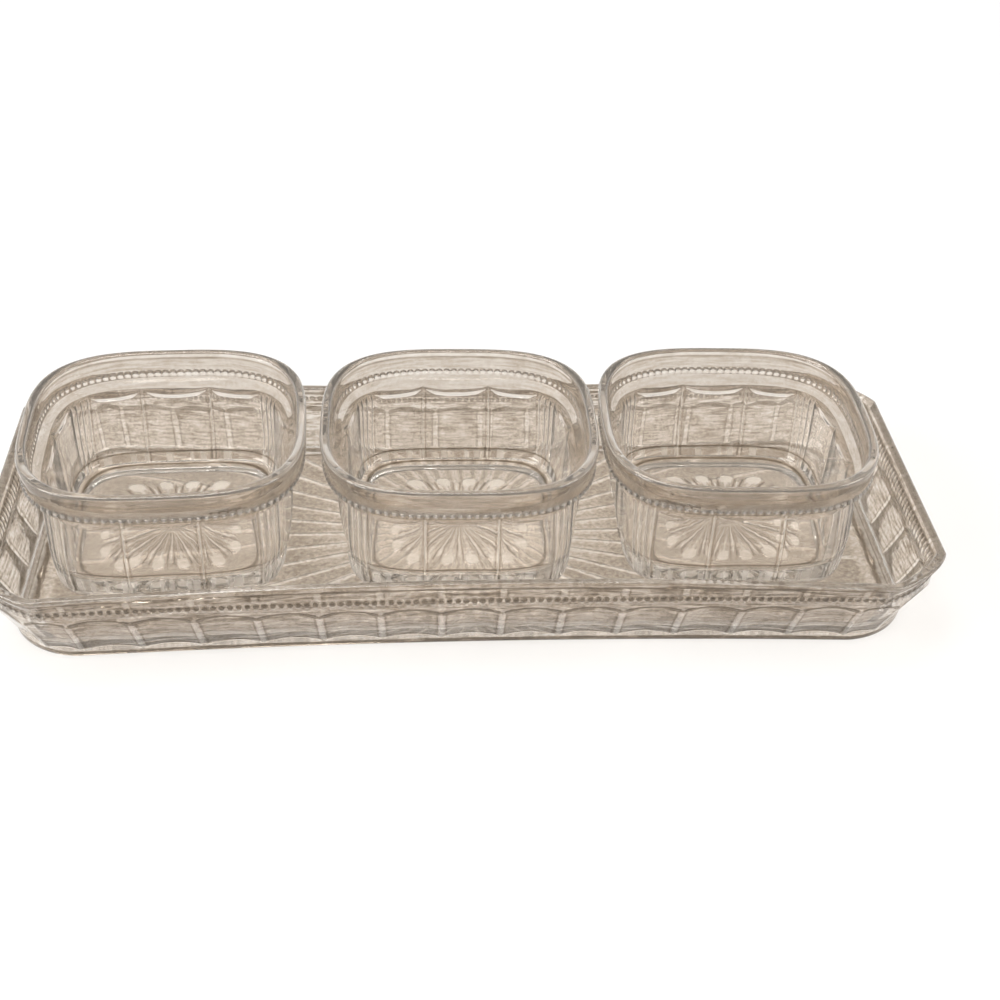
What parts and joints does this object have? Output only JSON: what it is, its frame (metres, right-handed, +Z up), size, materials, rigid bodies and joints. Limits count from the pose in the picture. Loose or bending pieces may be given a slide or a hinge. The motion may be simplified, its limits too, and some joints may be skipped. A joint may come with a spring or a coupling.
{
  "type": "relish tray",
  "caption": "Clear pressed-glass relish set: a long fluted tray with cut corners and a beaded rim, holding a row of rounded-square lift-out bowls.",
  "frame": {"origin": "on the table, under the middle of the tray", "axes": "+X along the tray towards the right-hand bowl, +Y to the tray's far long side, +Z up"},
  "size_m": [0.342, 0.1458, 0.057],
  "materials": {
    "clear_glass": "clear pressed glass, smooth and glossy, with a faint warm cast"
  },
  "bodies": {
    "tray": {"tray": "clear_glass"},
    "bowl_left": {"bowl_left": "clear_glass"},
    "bowl_centre": {"bowl_centre": "clear_glass"},
    "bowl_right": {"bowl_right": "clear_glass"}
  },
  "joints": [
    {"name": "bowl_left_lift", "type": "slide", "parent": "tray", "child": "bowl_left", "axis": [0, 0, 1], "range_m": [0, 0.12]},
    {"name": "bowl_centre_lift", "type": "slide", "parent": "tray", "child": "bowl_centre", "axis": [0, 0, 1], "range_m": [0, 0.12]},
    {"name": "bowl_right_lift", "type": "slide", "parent": "tray", "child": "bowl_right", "axis": [0, 0, 1], "range_m": [0, 0.12]}
  ]
}
